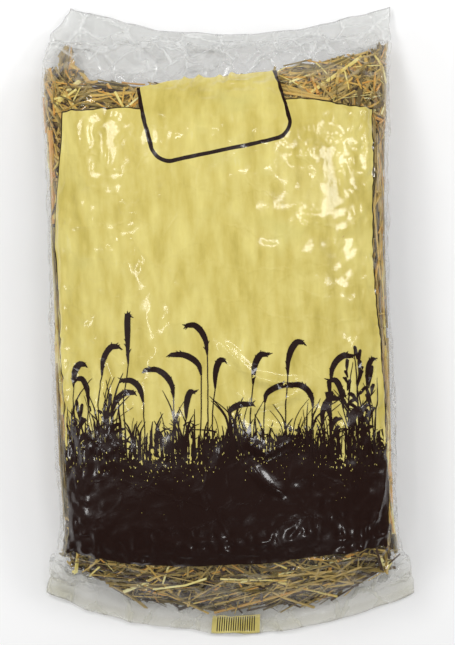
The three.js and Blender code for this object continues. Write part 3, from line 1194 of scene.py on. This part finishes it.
def ink_on_film(name, ribbons):
    """Carries flat ribbons onto the film and gives the ink a thickness."""
    corners, faces, count = [], [], 0
    for number, (left, right) in enumerate(ribbons):
        steps = len(left)
        pair = np.stack([left, right], axis=1).reshape(-1, 2)
        lift = np.full(len(pair), INK_LIFT + INK_STEP * (number % INK_LAYERS))
        corners.append(np.column_stack([pair, lift]))
        first = count + 2 * np.arange(steps - 1)
        faces.append(np.stack([first, first + 1, first + 3, first + 2], axis=1))
        count += len(pair)
    u, v, lift = np.concatenate(corners).T
    points = at_film(film_points, u, v) + at_film(film_out, u, v) * lift[:, None]
    mesh = bpy.data.meshes.new(name)
    mesh.from_pydata(points.tolist(), [], np.concatenate(faces)[:, ::-1].tolist())
    mesh.update()
    piece = bpy.data.objects.new(name, mesh)
    SCENE.collection.objects.link(piece)
    return with_modifier(piece, "SOLIDIFY", thickness=INK_THICKNESS, offset=1)


printed_field = ink_on_film("printed_field", ribbons)
print("printed field faces", len(printed_field.data.polygons))

# %% [markdown]
# ## Shader maths
#
# Patterns are worked out from numbers at each point, so a small class lets a socket be added,
# multiplied and compared as a number in Python. Each step adds a Math node.

# %% A socket that works like a number
class Signal:
    """One output socket of a node, used as a number."""

    def __init__(self, finish, socket):
        self.finish, self.socket = finish, socket

    def math(self, operation, *values):
        return self.finish.node("ShaderNodeMath", {"operation": operation}, dict(enumerate(values)))

    def __add__(self, other):
        return self.math("ADD", self, other)

    def __sub__(self, other):
        return self.math("SUBTRACT", self, other)

    def __rsub__(self, other):
        return self.math("SUBTRACT", other, self)

    def __mul__(self, other):
        return self.math("MULTIPLY", self, other)

    def __truediv__(self, other):
        return self.math("DIVIDE", self, other)

    def __pow__(self, other):
        return self.math("POWER", self, other)

    def __abs__(self):
        return self.math("ABSOLUTE", self)

    __radd__, __rmul__ = __add__, __mul__

    def larger(self, other):
        return self.math("MAXIMUM", self, other)

    def smaller(self, other):
        return self.math("MINIMUM", self, other)

    def step(self, low, high):
        """0 below low and 1 above high, smooth between them."""
        return self.finish.node(
            "ShaderNodeMapRange", {"interpolation_type": "SMOOTHSTEP"}, {0: self, 1: low, 2: high}
        )


def paint(red, green, blue):
    """A screen colour, 0 to 255, as a linear colour."""
    return tuple(
        c / 12.92 if c <= 0.04045 else ((c + 0.055) / 1.055) ** 2.4
        for c in (red / 255, green / 255, blue / 255)
    ) + (1.0,)


class Finish:
    """A material that is built one node at a time."""

    def __init__(self, name):
        self.material = bpy.data.materials.new(name)
        self.material.use_nodes = True
        self.nodes = self.material.node_tree.nodes
        self.nodes.clear()

    def node(self, kind, settings=None, inputs=None, output=0):
        """Adds a node: its settings first, then its sockets' values or links."""
        node = self.nodes.new(kind)
        for name, value in (settings or {}).items():
            if name == "stops":
                ramp = node.color_ramp
                while len(ramp.elements) < len(value):
                    ramp.elements.new(0.5)
                for stop, (place, colour) in zip(ramp.elements, value):
                    stop.position, stop.color = place, colour
            elif name == "curve":
                curve = node.mapping.curves[0]
                for place in value[1:-1]:
                    curve.points.new(*place)
                curve.points[0].location, curve.points[-1].location = value[0], value[-1]
                node.mapping.update()
            else:
                setattr(node, name, value)
        for name, value in (inputs or {}).items():
            if isinstance(value, Signal):
                self.material.node_tree.links.new(value.socket, node.inputs[name])
            else:
                node.inputs[name].default_value = value
        return Signal(self, node.outputs[output])

    def parts(self, vector):
        """The x and y of a vector as two numbers."""
        first = self.node("ShaderNodeSeparateXYZ", inputs={0: vector})
        return first, Signal(self, first.socket.node.outputs[1])

    def blend(self, share, below, above):
        settings = {"data_type": "RGBA"}
        return self.node("ShaderNodeMix", settings, {0: share, 6: below, 7: above}, output=2)

    def noise(self, place, scale, detail=3.0, stretch=(1, 1, 1)):
        place = self.node("ShaderNodeVectorMath", {"operation": "MULTIPLY"}, {0: place, 1: stretch})
        settings = {"Vector": place, "Scale": scale, "Detail": detail}
        return self.node("ShaderNodeTexNoise", None, settings)

    def bump(self, height, strength, distance):
        settings = {"Strength": strength, "Distance": distance, "Height": height}
        return self.node("ShaderNodeBump", None, settings)

    def mix(self, share, below, above):
        return self.node("ShaderNodeMixShader", None, {0: share, 1: below, 2: above})

    def with_surface(self, surface):
        """The finished material, which shows this shader."""
        output = self.nodes.new("ShaderNodeOutputMaterial")
        self.material.node_tree.links.new(surface.socket, output.inputs["Surface"])
        return self.material


def coat_with(piece, material):
    piece.data.materials.clear()
    piece.data.materials.append(material)


# %% [markdown]
# ## Straw finishes
#
# Dry straw is waxy and ribbed along its length. Its colour goes from olive and brown through
# tan to bright gold, and every straw has a tone of its own. Fine lines run along the stem.

# %% Straw colours
STRAW_STOPS = [
    (0.0, paint(38, 18, 12)), (0.16, paint(84, 56, 24)), (0.32, paint(120, 104, 42)),
    (0.46, paint(158, 134, 68)), (0.60, paint(192, 164, 92)), (0.72, paint(212, 178, 84)),
    (0.82, paint(216, 150, 50)), (0.90, paint(232, 212, 112)), (1.0, paint(244, 236, 170)),
]


def straw_finish(name, shift):
    """Straw whose colour follows each straw's tone, moved up the colours by shift."""
    finish = Finish(name)
    tone = finish.node("ShaderNodeAttribute", {"attribute_name": "tone"}, output=2)
    run = finish.node("ShaderNodeAttribute", {"attribute_name": "run"}, output=2)
    across = finish.node("ShaderNodeAttribute", {"attribute_name": "across"}, output=2)
    along = finish.node("ShaderNodeCombineXYZ", None, {0: across * 0.004, 1: run, 2: tone * 3})
    lines = finish.noise(along, 900, 3, (1, 0.03, 1))
    patches = finish.noise(along, 60, 3, (1, 1, 1))
    shade = tone + shift + (patches - 0.5) * 0.30 + (lines - 0.5) * 0.22
    colour = finish.node("ShaderNodeValToRGB", {"stops": STRAW_STOPS}, {0: shade})
    surface = finish.node("ShaderNodeBsdfPrincipled", None, {
        "Base Color": colour,
        "Roughness": 0.42 + lines * 0.25,
        "Normal": finish.bump(lines, 0.35, 0.0003),
        "Coat Weight": 0.15,
        "Coat Roughness": 0.3,
    })
    return finish.with_surface(surface)


STRAW = straw_finish("dry_straw", 0.0)
STEM = straw_finish("golden_stem", 0.04)
BLADE = straw_finish("pale_blade", 0.10)

for piece in straw_pieces:
    coat_with(piece, STRAW)
for piece, _, slot in named:
    coat_with(piece, STEM if slot == "stem" else BLADE)

# %% [markdown]
# ## The dark mass
#
# Behind the loose straws there is only more straw, in shadow. Two sets of fine fibres lie
# across each other on the mass, and a slow noise chooses which set shows.

# %% Finish the mass
deep = Finish("deep_straw")
place = deep.node("ShaderNodeTexCoord", output=3)
weave = deep.noise(place, 40, 3)
one_way = deep.noise(place, 420, 3, (1.0, 0.10, 0.4))
other_way = deep.noise(place, 380, 3, (0.12, 1.0, 0.4))
fibres = one_way + (other_way - one_way) * weave.step(0.44, 0.56)
# The dark browns are painted shade: straw in shadow behind the loose straws.
deep_colour = deep.node("ShaderNodeValToRGB", {"stops": [
    (0.30, paint(34, 18, 12)), (0.46, paint(66, 42, 22)), (0.58, paint(120, 92, 46)),
    (0.72, paint(170, 140, 74)),
]}, {0: fibres})
deep_surface = deep.node("ShaderNodeBsdfPrincipled", None, {
    "Base Color": deep_colour, "Roughness": 0.8, "Normal": deep.bump(fibres, 0.8, 0.002),
})
coat_with(mass, deep.with_surface(deep_surface))

# %% [markdown]
# ## The film and its print
#
# Clear film shows mostly what is behind it, with a mirror that grows towards grazing angles
# and a faint milky haze. The print is ink on the film: a yellow panel with a thin dark edge, a
# tilted tab left blank, and the dark ground of the field. Ink hides nearly all that is behind
# it. Straws that press on it show as lighter and darker streaks in the yellow, partly painted
# light and shade.

# %% Clear film
WHITE = (1, 1, 1, 1)
# The first colour is the film's milky haze. The second, a darker warm grey, is painted shade on the
# film at the bottom end.
MILKY, SHADED_MILK = paint(246, 247, 245), paint(214, 210, 186)
TIGHT = 0.12  # how slack the film is where straw presses on it, against 1 where it is empty
sheet = Finish("printed_film")
on_object = sheet.node("ShaderNodeTexCoord", output=3)
on_film = sheet.node("ShaderNodeUVMap", {"uv_map": "film"})
u, v = sheet.parts(on_film)


def edge_line(along, places, reach=0.32):
    """
    A value that follows given (place, value) pairs, in millimetres, along the film. Places
    lie within reach metres of the film's middle.
    """
    curve = [((p / 1000 + reach) / (2 * reach), 0.5 + value / 1000) for p, value in places]
    curve = [(0.0, curve[0][1]), *curve, (1.0, curve[-1][1])]
    share = (along + reach) / (2 * reach)
    return sheet.node("ShaderNodeFloatCurve", {"curve": curve}, {"Value": share}) - 0.5


crinkle = sheet.noise(on_object, 170, 4)
cells = sheet.node("ShaderNodeTexVoronoi", {"feature": "F1"}, {"Vector": on_object, "Scale": 85.0})
wandering = sheet.noise(on_object, 9, 2)
shift = sheet.node("ShaderNodeCombineXYZ", None, {0: wandering * 0.06, 1: crinkle * 0.01})
warped = sheet.node("ShaderNodeVectorMath", {"operation": "ADD"}, {0: on_object, 1: shift})
to_crease = sheet.node(
    "ShaderNodeTexVoronoi", {"feature": "DISTANCE_TO_EDGE"}, {"Vector": warped, "Scale": 34.0}
)
crease = 1 - to_crease.step(0.0, 0.085)
empty = (v - edge_line(u, STRAW_TOP, 0.36)).step(-0.012, 0.016)
on_side = abs(u).step(0.150, 0.172)
on_fin = v.step(0.282, 0.292).larger(1 - v.step(-0.308, -0.300))
slack = empty.larger(on_side * 0.7).larger(on_fin) + TIGHT
relief = sheet.bump(cells * 0.7 + crinkle * 0.6 + crease * slack * 2.6, 0.34, 0.0016)
facing = sheet.node("ShaderNodeLayerWeight", None, {"Blend": 0.5, "Normal": relief}, output=1)
bottom_end = 1 - v.step(-0.28, -0.22)  # the haze is a darker warm grey here, painted shade, and the mirror is weaker
mirror = (facing**4 * 0.6 + 0.045) * (1 - bottom_end * 0.65)
see_through = sheet.node("ShaderNodeBsdfTransparent", None, {0: WHITE})
gloss = sheet.node(
    "ShaderNodeBsdfGlossy", None, {"Color": WHITE, "Roughness": 0.10, "Normal": relief}
)
front_milk = sheet.node("ShaderNodeBsdfDiffuse", None, {"Color": MILKY, "Normal": relief})
back_milk = sheet.node("ShaderNodeBsdfTranslucent", None, {"Color": MILKY})
shaded_milk = sheet.node("ShaderNodeBsdfDiffuse", None, {"Color": SHADED_MILK, "Normal": relief})
# At the bottom end the haze takes the darker warm grey: painted shade.
milk = sheet.mix(bottom_end * 0.7, sheet.mix(0.18, front_milk, back_milk), shaded_milk)
cloudy = sheet.noise(on_object, 26, 3).step(0.40, 0.75)
haze = facing**2 * 0.04 + 0.010 + cloudy * 0.03  # over all the film
haze = haze + empty * 0.15 + on_side * 0.18 + on_fin * 0.12  # more where it is slack
# Along creases in slack film the haze is whiter: in part the film's own whitening where it is creased,
# in part a painted highlight.
haze = haze + crease * (slack - TIGHT) * (cloudy + 0.25) * 0.50  # and in its creases
clear = sheet.mix(mirror, sheet.mix(haze, see_through, milk), gloss)


# %% [markdown]
# ## Outlines of the print
#
# Each edge of the yellow panel is a line through a few places, and a point is inside the panel
# when it is inside all four. The tab is a rectangle with round corners, and a point's distance
# from its edge gives both the tab and its dark line.

# %% Outlines of the print
left = edge_line(v, [(-212, -157), (-82, -150), (40, -154), (95, -156), (192, -142)])
right = edge_line(v, [(-204, 149), (-110, 153), (0, 147), (120, 145), (198, 147)])
top = edge_line(u, [(-143, 193), (-110, 196), (-60, 200), (67, 208), (146, 197)])
top = top + (sheet.noise(on_film, 26, 2) - 0.5) * 0.010
bottom = edge_line(u, [(-150, -211), (-93, -217), (20, -213), (146, -203)])
inside = (u - left).smaller(right - u).smaller(top - v).smaller(v - bottom)
panel = inside.step(-0.0002, 0.0002)
panel_line = 1 - inside.step(0.0010, 0.0015)

TAB_TILT = math.radians(12.0)
TAB_CENTRE, TAB_HALF, TAB_ROUND = (-0.0035, 0.2155), (0.0635, 0.0560), 0.016
across = (u - TAB_CENTRE[0]) * math.cos(TAB_TILT) + (v - TAB_CENTRE[1]) * math.sin(TAB_TILT)
upward = (v - TAB_CENTRE[1]) * math.cos(TAB_TILT) - (u - TAB_CENTRE[0]) * math.sin(TAB_TILT)
past_side = abs(across) - (TAB_HALF[0] - TAB_ROUND)
past_end = abs(upward) - (TAB_HALF[1] - TAB_ROUND)
corner = (past_side.larger(0) ** 2 + past_end.larger(0) ** 2) ** 0.5
tab_edge = corner + past_side.larger(past_end).smaller(0) - TAB_ROUND
tab_top = edge_line(u, [(-72, 219), (-40, 230), (10, 240), (64, 246)])
below_top = (tab_top - v + (crinkle - 0.5) * 0.002).step(-0.0004, 0.0004)
tab = (1 - tab_edge.step(0.0014, 0.0018)) * below_top
tab_line = (1 - abs(tab_edge).step(0.0016, 0.0020)) * below_top

streaky = sheet.noise(on_film, 190, 4, (1, 0.16, 1))
rough_edge = sheet.noise(on_film, 600, 3, (1, 0.45, 1))
hilly = sheet.noise(on_film, 22, 2, (1, 0.1, 1))
below = (hilly - 0.5) * 0.06 + (GROUND_TOP / 1000 + 0.004) - v
under_ground = below + (streaky - 0.5) * 0.05 + (rough_edge - 0.5) * 0.03
speck = sheet.noise(on_film, 620, 2, (1, 0.42, 1))
specks = (speck - 0.585 - (below + 0.004) * 3.2).step(0.0, 0.02)
ground = under_ground.step(-0.0008, 0.0008) * (1 - specks)

PATCH_CENTRE, PATCH_HALF = (0.005, -0.3035), (0.023, 0.0105)
STRIPES_HALF = (0.0187, 0.0082)
STRIPE_WIDTH = 0.0022  # of one dark and one yellow stripe together
SOFT_EDGE = 0.0002


def on_patch(half_width, half_height):
    """1 inside a rectangle round the patch's centre, and 0 outside it."""
    outside_across = abs(u - PATCH_CENTRE[0]).step(half_width - SOFT_EDGE, half_width)
    outside_up = abs(v - PATCH_CENTRE[1]).step(half_height - SOFT_EDGE, half_height)
    return (1 - outside_across) * (1 - outside_up)


patch = on_patch(*PATCH_HALF)
stripes = u.math("SINE", u * (2 * math.pi / STRIPE_WIDTH)).step(0.0, 0.3)
patch_stripes = patch * stripes * on_patch(*STRIPES_HALF)

inked = panel.larger(tab).larger(patch)
panel_line = panel_line * panel * (1 - tab)
dark = panel_line.larger(tab_line).larger(ground * panel).larger(patch_stripes)

# %% [markdown]
# ## Ink
#
# Yellow ink lies thinly over straw. It is streaked along the bag with lighter and darker lines,
# partly straw seen through the thin ink and partly painted light and shade of the straws that
# press under it, and it is greener in places. The dark ink is one colour. Both have a gloss over
# them, and the yellow lets a little of the straw show through.

# %% Ink
# Lighter and darker streaks along the bag: partly straw seen through the thin ink, partly painted
# light and shade of the straws pressing under it.
streaks = sheet.noise(on_film, 75, 4, (1, 0.28, 1))
blotches = sheet.noise(on_object, 16, 3)
yellow = sheet.node("ShaderNodeValToRGB", {"stops": [
    (0.25, paint(198, 180, 86)), (0.42, paint(220, 202, 108)), (0.55, paint(230, 214, 124)),
    (0.68, paint(240, 225, 134)), (0.80, paint(246, 235, 166)),
]}, {0: streaks + (blotches - 0.5) * 0.35})
greenish = blotches.step(0.55, 0.75) * 0.35
yellow = sheet.blend(greenish, yellow, paint(208, 202, 122))
DARK_INK = paint(34, 12, 5)
INK_GLOSS = {
    "Roughness": 0.34, "Specular IOR Level": 0.30, "Coat Weight": 0.7, "Coat Roughness": 0.11,
}
ink_colour = sheet.blend(dark, yellow, DARK_INK)
ink = sheet.node(
    "ShaderNodeBsdfPrincipled", None, {"Base Color": ink_colour, "Normal": relief, **INK_GLOSS}
)
hiding = 0.86 + dark * 0.12
print_layer = sheet.mix(hiding, see_through, ink)
coat_with(film, sheet.with_surface(sheet.mix(inked, clear, print_layer)))

plants = Finish("dark_ink")
plant_ink = plants.node("ShaderNodeBsdfPrincipled", None, {"Base Color": DARK_INK, **INK_GLOSS})
coat_with(printed_field, plants.with_surface(plant_ink))

# %% [markdown]
# ## Riders
#
# Nothing on a bag of straw moves, so every piece rides on the one body. The film and the mass
# each replace their solid, and the named straws replace theirs.

# %% Tie the pieces to the frame
riders = [(film, "film"), (printed_field, "film"), (mass, "packed_straw")]
riders += [(piece, "packed_straw") for piece in straw_pieces]
for piece, slot in riders:
    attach(piece, "root")
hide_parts("film_bag")
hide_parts("packed_straw")
for piece, node, slot in named:
    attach(piece, "root")
    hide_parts(node)

# %% [markdown]
# ## Floor
#
# The bag lies on a pale floor that is matt and faintly uneven, so only the film has glints.

# %% Floor
select_nothing()
bpy.ops.mesh.primitive_plane_add(size=8, location=(0, 0, -0.0005))
floor = bpy.context.object
floor.name = floor.data.name = "studio_floor"
pale = Finish("pale_floor")
floor_noise = pale.noise(pale.node("ShaderNodeTexCoord", output=3), 9, 3)
floor_colour = pale.blend(floor_noise, (0.96, 0.96, 0.96, 1), (0.94, 0.94, 0.94, 1))
floor_surface = pale.node("ShaderNodeBsdfPrincipled", None, {
    "Base Color": floor_colour, "Roughness": 0.9, "Specular IOR Level": 0.1,
})
coat_with(floor, pale.with_surface(floor_surface))

# %% [markdown]
# ## Lights
#
# Film needs small bright lights for its glints, set where its folds mirror them, and a large
# soft one for its sheen. The room is bright where it lights the straw, and dim where the film
# mirrors it, so the film stays clear.

# %% Lights
SOFTBOXES = [  # place, width and height, watts
    ((-0.75, 0.75, 1.25), (0.45, 0.45), 7.0),
    ((0.95, 0.45, 1.10), (0.34, 0.34), 4.8),
    ((0.35, -1.10, 1.10), (0.24, 0.12), 1.0),
    ((0.62, 0.72, 1.25), (0.16, 0.16), 1.1),
    ((-1.10, -0.35, 0.95), (0.22, 0.30), 2.2),
    ((0.42, 0.60, 1.90), (0.60, 0.08), 3.2),
    ((-0.60, -0.15, 1.90), (0.50, 0.06), 2.2),
]
for place, (width, height), watts in SOFTBOXES:
    turned = (Vector((0, 0, 0.05)) - Vector(place)).to_track_quat("-Z", "Y").to_euler()
    bpy.ops.object.light_add(type="AREA", location=place, rotation=turned)
    light = bpy.context.object
    light.data.shape = "RECTANGLE"
    light.data.size, light.data.size_y = width, height
    light.data.energy = watts
    light.visible_camera = False

ROOM_LIGHT, ROOM_REFLECTION = 0.46, 0.07
world = bpy.data.worlds.new("studio")
world.use_nodes = True
room = world.node_tree
background = room.nodes["Background"]
ray = room.nodes.new("ShaderNodeLightPath")
strength = room.nodes.new("ShaderNodeMapRange")
strength.inputs["To Min"].default_value = ROOM_LIGHT
strength.inputs["To Max"].default_value = ROOM_REFLECTION
room.links.new(ray.outputs["Is Glossy Ray"], strength.inputs["Value"])
room.links.new(strength.outputs[0], background.inputs["Strength"])
background.inputs["Color"].default_value = (1, 1, 1, 1)
SCENE.world = world
SCENE.view_settings.view_transform = "Standard"

# %% [markdown]
# ## Camera
#
# The camera looks straight down at the bag from high above it, through a long lens that keeps
# the bag's sides straight.

# %% Camera
CAMERA_HEIGHT = 3.0
bpy.ops.object.camera_add(location=(0, -0.002, CAMERA_HEIGHT), rotation=(0, 0, 0))
camera = bpy.context.object
camera.data.sensor_width = 36
camera.data.lens = 183
SCENE.camera = camera

# %% [markdown]
# ## Finish
#
# The view layer is brought up to date.

# %% Finish
bpy.context.view_layer.update()
